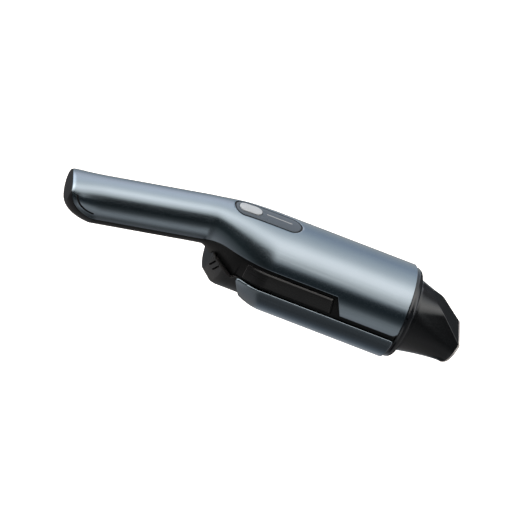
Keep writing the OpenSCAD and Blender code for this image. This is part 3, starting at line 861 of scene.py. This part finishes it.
def handle_end_cap():
    full = END_X + RIM - SEAM
    face = (0, 0.2, 0.4, 0.55, 0.7, 0.8, 0.88, 0.95, 1)
    rows = [(END_X + 1.3 * (1 - quarter(f * 0.98)), f) for f in face]
    rows += [(END_X + d, 1) for d in (1.2, 1.4)] + [(full, 1)]
    rows += [(x, 1) for x in steps(full + 0.6, CAP_X, 40)[1:-1]] + [(CAP_X - 0.9, 1), (CAP_X, 1)]
    top, low = 48, 72
    grids = []
    for d in (0, WALL):
        grid = []
        for x, f in rows:
            at = max(x, full)
            a = edge_angle(at, edge_z(at) - SEAM)
            angles = [mix(-a, a, k / top) for k in range(top)]
            angles += [mix(a, 2 * math.pi - a, k / low) for k in range(low)]
            sunk, deep = (d, min(d, 1.2)) if x < full else (0, d)
            row = []
            for px, py, pz in (body_point(x, t, deep) for t in angles):
                row.append((mix(x, px, f) + sunk, mix(0, py, f), mix(mid_z(x), pz, f)))
            grid.append(row)
        grids.append(grid)
    full_rows = next(i for i, (x, f) in enumerate(rows) if x >= full - 1e-6)

    def keep(i, j):
        return i < full_rows or j >= top

    o = new_object("handle_end", skin(*grids, keep=keep, closed=True))
    round_edges(o, 0.3)
    carve(o, port_cutter())
    finish_piece(o, "body", "black_plastic", ["handle_end_cap"])


handle_end_cap()

# ---------- barrel frame and rear cover ----------


def revolve(profile, n=160):
    return loft([around(x, r, n) for x, r in profile], joined=True)


def dense(profile, step):
    """The closed profile with points at most step apart."""
    out = []
    for k, (x, r) in enumerate(profile):
        nx, nr = profile[(k + 1) % len(profile)]
        n = max(1, int(math.hypot(nx - x, nr - r) / step))
        out += [(mix(x, nx, i / n), mix(r, nr, i / n)) for i in range(n)]
    return out


def lever_pocket(side, surface):
    """A cutter for a lever's pocket, from above the frame's surface down to the pocket's floor."""
    rear, low_front, high_front, low, high, n = -104, -56.8, -59.5, -3.6, 10.3, 12
    grids = []
    for r in (surface + 1.0, surface - 1.3):
        grid = []
        for i in range(n + 1):
            z, front = mix(low, high, i / n), mix(low_front, high_front, i / n)
            y = side * math.sqrt(r * r - z * z)
            grid.append([(mix(rear, front, j / n), y, z) for j in range(n + 1)])
        grids.append(grid)
    return skin(*grids)


def barrel_frame():
    outer, wall, front = BARREL_R - RECESS, 2.2, -1.5
    profile = [(SPLIT_X, outer), (front, outer), (front, outer - wall), (SPLIT_X, outer - wall)]
    o = new_object("barrel_tube", revolve(dense(profile, 6.0), 180))
    round_edges(o, 0.35)
    for side in (-1, 1):
        carve(o, lever_pocket(side, outer))
    # The frame takes the darker copy of the black plastic: painted shade.
    finish_piece(o, "body", "black_plastic", ["barrel_frame"], look=FRAME_BLACK_PAINTED_SHADE)


barrel_frame()


def box_shape(centre, size, tilt=0.0):
    """A box turned about the Y axis, in mm."""
    c, s = math.cos(math.radians(tilt)), math.sin(math.radians(tilt))
    points = []
    for dz in (-0.5, 0.5):
        for dx, dy in ((-0.5, -0.5), (0.5, -0.5), (0.5, 0.5), (-0.5, 0.5)):
            x, y, z = dx * size[0], dy * size[1], dz * size[2]
            points.append((centre[0] + c * x + s * z, centre[1] + y, centre[2] - s * x + c * z))
    return points, [(3, 2, 1, 0), (4, 5, 6, 7), (0, 1, 5, 4), (1, 2, 6, 5), (2, 3, 7, 6), (3, 0, 4, 7)]


COVER_BACK = -163.2
COVER_EDGE = ((-170, 4.2), (-163, 0.9), (-142.2, -10), (-141.9, LOWER_TOP - 0.4))
COVER_SLOTS = ((-160.8, -5.8), (-157.2, -7.7))


def height_on(line, x):
    """The height at x of a line of points, level beyond the last one."""
    for (xa, za), (xb, zb) in zip(line, line[1:]):
        if x <= xb:
            return mix(za, zb, (x - xa) / (xb - xa))
    return line[-1][1]


def cover_profile(face, corner, shoulder, side_r):
    """Half the cover's outline: its back face, slanted shoulder and straight side."""
    (xa, ra), (xb, rb) = corner, shoulder
    slant = [(mix(xa, xb, t), mix(ra, rb, t)) for t in (0.2, 0.5, 0.8, 1)]
    side = [(x, side_r) for x in [-149.4] + steps(-147, -119, 14) + [-118]]
    return face + [corner] + slant + side


def flanged(p):
    """The point drawn inwards to the handle frame's inner face."""
    x, y, z = p
    return (x, math.copysign(min(abs(y), side_y(x, z, sink(x) + 1.5)), y), z)


def rear_cover():
    back, inside = COVER_BACK, COVER_BACK + 1.8
    face = [(back, r) for r in (0.6, 6, 12, 17, 21, 22.8)]
    outer = cover_profile(face, (back + 0.8, 24.8), (-153.2, 32.1), 32.9)
    face = [(inside, r) for r in (0.3, 5.6, 11.6, 16.6, 20.6, 22.0)]
    inner = cover_profile(face, (back + 2.8, 23.9), (-152.2, 30.6), 31.1)
    cols = steps(0, 1, 90, (0.006, 0.012))
    flange = [min(c, 1 - c) < 0.015 for c in cols]
    grids = []
    for profile in (outer, inner):
        grid = []
        for (at, reach), (x, r) in zip(outer, profile):
            a = math.acos(max(-1, min(1, height_on(COVER_EDGE, at) / reach)))
            angles = [mix(a, 2 * math.pi - a, c) for c in cols]
            row = [(x, r * math.sin(t), r * math.cos(t)) for t in angles]
            if profile is inner and back + 1 < at and x < CHEEK[1][0]:
                row = [flanged(p) if drawn else p for p, drawn in zip(row, flange)]
            grid.append(row)
        grids.append(grid)
    o = new_object("rear_casing", skin(*grids))
    round_edges(o, 0.45, angle=15, segments=2)
    for x, z in COVER_SLOTS:
        for side in (-1, 1):
            carve(o, box_shape((x, side * 27, z), (1.3, 20, 8), 18))
    for x in (-138, -133):
        carve(o, box_shape((x, 0, -32), (2, 22, 8)))
    # The cover takes the lighter copy of the black plastic: painted light.
    finish_piece(o, "body", "black_plastic", ["rear_cover"], sharp=24, look=COVER_BLACK_PAINTED_LIGHT)


rear_cover()

# ---------- controls ----------


def control_panel():
    x0, length, width = PANEL
    gap, slit = PANEL_GAP, 0.3
    o = new_object("panel_plate", plate(x0 + gap, length - 2 * gap, width - 2 * gap, 0.2, 1.9))
    round_edges(o, 0.35)
    x0, length, width = BUTTON
    well = opening(x0 - slit, length + 2 * slit, width + 2 * slit, 6, 0.35)
    carve(o, well, opening(*LENS, 6, 0.3))
    finish_piece(o, "body", "panel_gloss", ["control_panel"])


def panel_gasket():
    x0, length, width = PANEL
    o = new_object("panel_seal", band(x0 + 0.1, length - 0.2, width - 0.2, 1.0, 1.0, 2.0))
    finish_piece(o, "body", "black_rubber", ["panel_gasket"])


control_panel()
panel_gasket()


def power_button():
    o = new_object("button_cap", plate(*BUTTON, -0.7, 1.8, crown=0.25))
    round_edges(o, 0.45)
    finish_piece(o, "button", "button_grey")
    cx, r, height = BUTTON[0] + BUTTON[1] / 2, 1.6, 2.6
    z0 = (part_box("power_button")[0].z - AXIS_Z) / MM
    rows = []
    for z, q in ((z0, 0), (z0, r), (z0 + height, r), (z0 + height, 0)):
        rows.append([(cx + q * math.cos(t), q * math.sin(t), z) for t in turns(32)])
    post = new_object("button_stem", loft(rows))
    round_edges(post, 0.2)
    finish_piece(post, "button", "button_grey")
    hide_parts("power_button")


power_button()
light_bar = new_object("light_bar", plate(*LENS, 0.1, 3.2))
finish_piece(light_bar, "body", "lens_white", ["indicator_lens"])


def release_lever(side, name):
    """A long bar with rounded edges that sinks into the frame at its rear end."""
    low, high, rear, fade_len = -3.1, 9.8, -136.0, 14
    proud, edge_drop, deepest, inside = 0.4, 0.8, 1.3, 1.4
    zs = steps(low, high, 12, (0.2, 0.5, 0.8, 1.0, 1.5))
    outer, inner = [], []
    for u in steps(0, 1, 70, (0.004, 0.0075, 0.0104, 0.02)):
        fronts = [mix(-58.4, -61, (z - low) / (high - low)) for z in zs]
        line = [(mix(rear, front, u), z, front) for z, front in zip(zs, fronts)]
        row = []
        for x, z, front in line:
            near = min(z - low, high - z, x - rear, front - x)
            fade = edge_drop * (1 - ease(clamp((x - rear) / fade_len)))
            d = min(proud + edge_drop * clamp(1 - near / edge_drop) + fade, deepest)
            row.append((x, side * side_y(x, z, d), z))
        outer.append(row)
        inner.append([(x, side * side_y(x, z, inside), z) for x, z, front in line])
    o = new_object(f"lever_{name}", skin(outer, inner))
    finish_piece(o, f"{name}_lever", "lever_gloss", [f"{name}_release_lever"])


release_lever(1, "left")
release_lever(-1, "right")

# ---------- front ring and nozzle ----------

RING_BACK, RING_FRONT, RING_R, BORE_R = 0.3, 6.9, 38.2, 28.0
MARK_X, MARKS = 1.9, (56, 66)                # the index marks: degrees from the top, on both sides


def front_ring():
    deep, high = 4.5, 3.6
    arc = []
    for k in range(15):
        t = math.radians(90 * k / 14)
        arc.append((RING_FRONT - deep + deep * math.sin(t), RING_R - high + high * math.cos(t)))
    profile = [(RING_BACK, r) for r in (BORE_R, 31, 34, 37, RING_R)] + [(1.2, RING_R)] + arc
    profile += [(RING_FRONT, r) for r in (30.2, 29, BORE_R)] + [(4.5, BORE_R), (2.5, BORE_R)]
    o = new_object("bezel_ring", revolve(profile, 180))
    round_edges(o, 0.4, angle=50)
    wide = Vector((1, 0, 0))
    pit = ((RING_R - 1, 0), (RING_R - 1, 1), (RING_R + 2, 1), (RING_R + 2, 0))
    for side in (-1, 1):
        for mark in MARKS:
            t = math.radians(side * mark)
            up = Vector((0, math.sin(t), math.cos(t)))
            foot = Vector((MARK_X, 0, 0))
            carve(o, loft([circle(foot + up * h, wide, up.cross(wide), r, 24) for h, r in pit]))
    finish_piece(o, "cup", "ring_gloss", ["front_ring"])


front_ring()

BASE_X, BASE_R, LOFT_X, LIP_X = 7.2, 30.5, 10.0, 55.2
MOUTH_W, MOUTH_H, LOW_CORNER, TOP_CORNER = 22.5, 19.5, 5.0, 3.0
MOUTH_CENTRES = ((5.2, 19.0), (MOUTH_W - LOW_CORNER, -7.7), (MOUTH_W - LOW_CORNER, LOW_CORNER - MOUTH_H))
NOZZLE_WALL, LIP_LEAN, LIP_ROUND, LIP_FROM = 1.7, 5.4, 4.3, 0.966
TOP_SLOPE, TOP_BLEND, TOP_CROWN = 0.87, 5.0, 0.4
BASE_SHARE = -0.31                           # used at the base, where the corners' circles are one
FLAT_COLS, SIDE_COLS = 14, 66


def nozzle_half(t, d):
    """One side of a section with its round corners, from the top down to the bottom, as (y, z).

    t goes from 0 at the round base to 1 at the lip. The corner circles grow from one circle."""
    low_r = mix(LOW_CORNER, BASE_R, (1 - t) ** 1.15) - d
    top_r = mix(TOP_CORNER, BASE_R, (1 - t) ** 1.3) - d
    step = [(b - a) * max(t, 0.001) for a, b in zip(*MOUTH_CENTRES[:2])]
    apart = math.hypot(*step)
    share = (top_r - low_r) / apart if t > 0.001 else BASE_SHARE
    side = math.degrees(math.atan2(*step) - math.acos(share))
    corners = ((0, side, top_r), (side, 90, low_r), (90, 180, low_r))
    out = []
    for (a0, a1, r), (cy, cz) in zip(corners, MOUTH_CENTRES):
        for k in range(25):
            a = math.radians(mix(a0, a1, k / 24))
            out.append((r * math.sin(a) + cy * t, r * math.cos(a) + cz * t))
    return [(0.0, out[0][1])] + out + [(0.0, out[-1][1])]


def spread(line, n):
    """n + 1 points at even distances along the line."""
    reach = [0.0]
    for a, b in zip(line, line[1:]):
        reach.append(reach[-1] + math.hypot(b[0] - a[0], b[1] - a[1]))
    out, i = [], 0
    for k in range(n + 1):
        at = reach[-1] * k / n
        while i < len(line) - 2 and reach[i + 1] < at:
            i += 1
        part = clamp((at - reach[i]) / max(1e-9, reach[i + 1] - reach[i]))
        out.append(tuple(mix(p, q, part) for p, q in zip(line[i], line[i + 1])))
    return out


def nozzle_row(t, d):
    """A closed section: the flat top from crease to crease, then round the sides and the bottom."""
    x = mix(LOFT_X, LIP_X, t)
    half = nozzle_half(t, d)
    slope, crown = TOP_SLOPE * (LIP_X - x) - d, half[0][1] - TOP_CROWN * (1 - t)
    top = min(slope, crown) - max(0.0, TOP_BLEND - abs(slope - crown)) ** 2 / (4 * TOP_BLEND)
    below = next(i for i, p in enumerate(half) if p[1] < top and i > 0)
    (ya, za), (yb, zb) = half[below - 1], half[below]
    crease = mix(ya, yb, clamp((za - top) / max(1e-9, za - zb)))
    side = spread([(crease, top)] + half[below:], SIDE_COLS)
    flat = [(mix(-crease, crease, k / FLAT_COLS), top) for k in range(1, FLAT_COLS)]
    ring = flat + side + [(-y, z) for y, z in reversed(side[:-1])]
    lowest = half[-1][1]
    out = []
    for y, z in ring:
        lean = LIP_LEAN * min(0.0, z) / MOUTH_H * t
        curl = LIP_ROUND * clamp((z / lowest - 0.6) / 0.4) ** 2 * t ** 4
        out.append((x + lean - curl, y, z))
    return out


def round_row(x, r):
    """The first section's directions, on a circle, so that the collar's columns meet the sides'."""
    return [(x, y / math.hypot(y, z) * r, z / math.hypot(y, z) * r) for _, y, z in nozzle_row(0, 0)]


def nozzle():
    ts = [0, 0.012, 0.03] + [k / 48 for k in range(2, 45)] + [LIP_FROM - 0.02, LIP_FROM - 0.003]
    collar = [(BASE_X, BASE_R + 0.2), (BASE_X + 0.8, BASE_R + 0.15), (BASE_X + 1.6, BASE_R + 0.08)]
    outer = [round_row(x, r) for x, r in collar] + [nozzle_row(t, 0) for t in ts]
    inner = [round_row(x, mix(25.4, 26.2, (x - BASE_X) / 2)) for x, r in collar]
    inner += [nozzle_row(t, NOZZLE_WALL + 1.8 * (1 - t) ** 4) for t in ts]
    o = new_object("nozzle_body", skin(outer, inner, closed=True))
    round_edges(o, 0.4, angle=24)
    finish_piece(o, "nozzle", "nozzle_gloss")
    x0, x1 = (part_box("nozzle")[0].x - FRONT_X) / MM, BASE_X + 0.8
    r0, r1 = 26, BORE_R - 0.35
    spigot = new_object("nozzle_spigot", revolve(dense([(x0, r1), (x1, r1), (x1, r0), (x0, r0)], 3.0)))
    round_edges(spigot, 0.3)
    finish_piece(spigot, "nozzle", "nozzle_gloss")
    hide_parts("nozzle")
    ts = [LIP_FROM, LIP_FROM + 0.01, LIP_FROM + 0.022, 1.0]
    outer, inner = ([nozzle_row(t, d) for t in ts] for d in (-0.12, NOZZLE_WALL + 0.1))
    lip = new_object("nozzle_lip", skin(outer, inner, closed=True))
    round_edges(lip, 0.3, angle=40)
    finish_piece(lip, "nozzle", "grey_plastic")


nozzle()

# ---------- floor, light and camera ----------


def pale(name, tint, glow):
    n = Nodes(name)
    speck = n.noise(9, 3.0)
    n.set(base_color=n.ramp(speck, [(0.3, scaled(tint, 0.985)), (0.7, tint)]), roughness=0.9,
          emission_color=(1.0, 1.0, 1.0), emission_strength=glow)
    return n.material


def floor(half=4.0, z=-0.6):
    points = [(x * half, y * half, z) for x, y in ((-1, -1), (1, -1), (1, 1), (-1, 1))]
    o = new_object("floor", (points, [(0, 1, 2, 3)]), mm=False)
    o.data.materials.append(pale("floor_pale", (0.9, 0.9, 0.9), 0.72))
    o.visible_glossy = False
    o.visible_diffuse = False
    o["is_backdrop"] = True


floor()

# The studio's light as (degrees, red, green, blue): 0 is straight up, positive turns to the near side.
BARREL_LIGHT = [
    (-180, 0.05, 0.06, 0.07), (-168, 0.17, 0.19, 0.21), (-150, 0.38, 0.4, 0.42), (-128, 0.5, 0.52, 0.54),
    (-112, 0.2, 0.22, 0.24), (-98, 0.5, 0.52, 0.53), (-75, 0.52, 0.57, 0.62), (-56, 0.39, 0.47, 0.57),
    (-38, 0.63, 0.68, 0.71), (-24, 0.95, 0.95, 0.93), (-12, 1.35, 1.27, 1.2), (0, 2.05, 1.86, 1.7),
    (12, 2.8, 2.45, 2.2), (24, 2.85, 2.5, 2.26), (36, 2.45, 2.2, 1.98), (47, 2.1, 1.9, 1.72),
    (54, 1.0, 0.95, 0.9), (60, 0.1, 0.11, 0.12), (65, 0.03, 0.04, 0.045), (83, 0.025, 0.035, 0.04),
    (92, 0.18, 0.19, 0.19), (98, 0.6, 0.57, 0.53), (113, 0.76, 0.72, 0.68), (124, 0.62, 0.58, 0.55),
    (134, 0.35, 0.33, 0.32), (143, 0.06, 0.065, 0.07), (150, 0.005, 0.01, 0.012), (168, 0.01, 0.015, 0.018)]

# The same light as the sloping handle sees it, with the softbox a little lower and warmer.
HANDLE_LIGHT = [
    (-180, 0.26, 0.24, 0.23), (-165, 0.26, 0.24, 0.23), (-150, 0.24, 0.23, 0.22), (-132, 0.1, 0.105, 0.11),
    (-112, 0.08, 0.085, 0.09), (-92, 0.4, 0.42, 0.43), (-75, 0.52, 0.57, 0.62), (-66, 0.95, 0.91, 0.95),
    (-49, 1.25, 1.19, 1.23), (-35, 1.32, 1.27, 1.28), (-22, 1.3, 1.24, 1.21), (-11, 1.5, 1.4, 1.31),
    (0, 2.0, 1.82, 1.66), (9.5, 2.15, 1.95, 1.78), (18, 1.75, 1.57, 1.45), (27, 1.3, 1.2, 1.08),
    (35, 0.7, 0.65, 0.59), (39, 0.17, 0.17, 0.165), (43, 0.02, 0.025, 0.025), (75, 0.015, 0.02, 0.02),
    (83, 0.06, 0.063, 0.06), (93, 0.085, 0.085, 0.08), (102, 0.12, 0.115, 0.11), (112, 0.15, 0.14, 0.135),
    (122, 0.18, 0.165, 0.158), (133, 0.24, 0.22, 0.21), (145, 0.25, 0.23, 0.21), (159, 0.26, 0.24, 0.23)]
BRIGHTEST = 2.9


def sky():
    """Studio light by direction: round the barrel by the tables, then along it by gain."""
    world = bpy.data.worlds.new("studio")
    bpy.context.scene.world = world
    world.use_nodes = True
    tree = world.node_tree
    split = tree.nodes.new("ShaderNodeSeparateXYZ")
    tree.links.new(tree.nodes.new("ShaderNodeTexCoord").outputs["Generated"], split.inputs[0])

    def math_node(kind, a, b):
        node = tree.nodes.new("ShaderNodeMath")
        node.operation = kind
        for socket, value in zip(node.inputs, (a, b)):
            if isinstance(value, float):
                socket.default_value = value
            else:
                tree.links.new(value, socket)
        return node.outputs[0]

    def turn_ramp(stops):
        ramp = tree.nodes.new("ShaderNodeValToRGB")
        elements = ramp.color_ramp.elements
        stops = stops + [(180, *stops[0][1:])]
        while len(elements) < len(stops):
            elements.new(0.5)
        for element, (angle, *colour) in zip(elements, stops):
            element.position = (angle + 180) / 360
            element.color = (*(c / BRIGHTEST for c in colour), 1)
        tree.links.new(share, ramp.inputs[0])
        return ramp.outputs["Color"]

    def along(axis, low, high, start, end):
        """A smooth change from start to end where the direction's axis goes from low to high."""
        node = tree.nodes.new("ShaderNodeMapRange")
        node.interpolation_type = "SMOOTHSTEP"
        tree.links.new(split.outputs[axis], node.inputs[0])
        for socket, value in zip(node.inputs[1:5], (low, high, start, end)):
            socket.default_value = value
        return node.outputs[0]

    side = math_node("MULTIPLY", split.outputs["Y"], -1.0)
    turn = math_node("ARCTAN2", side, split.outputs["Z"])
    share = math_node("ADD", math_node("DIVIDE", turn, 2 * math.pi), 0.5)
    both = tree.nodes.new("ShaderNodeMix")
    both.data_type = "RGBA"
    on_barrel = math_node("MULTIPLY", along("X", 0.12, 0.205, 0.0, 1.0), along("X", 0.24, 0.31, 1.0, 0.0))
    tree.links.new(on_barrel, both.inputs[0])
    tree.links.new(turn_ramp(HANDLE_LIGHT), both.inputs[6])
    tree.links.new(turn_ramp(BARREL_LIGHT), both.inputs[7])
    back = tree.nodes["Background"]
    tree.links.new(both.outputs[2], back.inputs["Color"])
    # Brighter from behind the handle, and dimmed from ahead of the nozzle on the far side.
    dimmed = math_node("MULTIPLY", along("X", 0.3, 0.45, 0.0, 0.88), along("Y", 0.1, 0.5, 0.0, 1.0))
    gain = math_node("SUBTRACT", along("X", -0.35, -0.1, 1.75, 1.0), dimmed)
    tree.links.new(math_node("MULTIPLY", gain, BRIGHTEST), back.inputs["Strength"])


sky()


def dome(radius=6.0):
    """A white backdrop that only the camera sees."""
    rows = []
    for k in range(13):
        t = math.pi * k / 12
        flat, z = radius * math.sin(t), radius * math.cos(t)
        rows.append([(flat * math.cos(a), flat * math.sin(a), z) for a in turns(24)])
    o = new_object("backdrop", loft(rows), mm=False)
    o.data.materials.append(pale("backdrop_pale", (0.5, 0.5, 0.5), 1.0))
    for kind in ("diffuse", "glossy", "transmission", "volume_scatter", "shadow"):
        setattr(o, f"visible_{kind}", False)
    o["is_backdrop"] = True


dome()

VIEW_RIGHT, VIEW_BACK = Vector((0.9131, 0.0111, 0.4075)), Vector((-0.208, -0.847, 0.489))
VIEW_SHIFT, VIEW_AWAY, VIEW_WIDTH = (-0.008, 0.0006), 1.2, 0.4121


def camera():
    low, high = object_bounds()
    back = VIEW_BACK.normalized()
    right = (VIEW_RIGHT - back * VIEW_RIGHT.dot(back)).normalized()
    up = back.cross(right)
    aim = Vector(((low.x + high.x) / 2 + VIEW_SHIFT[0], 0, AXIS_Z + VIEW_SHIFT[1]))
    cam = bpy.data.cameras.new("camera")
    cam.type = "ORTHO"
    cam.ortho_scale = VIEW_WIDTH
    cam.clip_start, cam.clip_end = 0.01, 20
    o = bpy.data.objects.new("camera", cam)
    bpy.context.scene.collection.objects.link(o)
    turn = Matrix((right, up, back)).transposed().to_4x4()
    o.matrix_world = Matrix.Translation(aim + back * VIEW_AWAY) @ turn
    bpy.context.scene.camera = o


camera()
bpy.context.scene.view_settings.view_transform = "Standard"
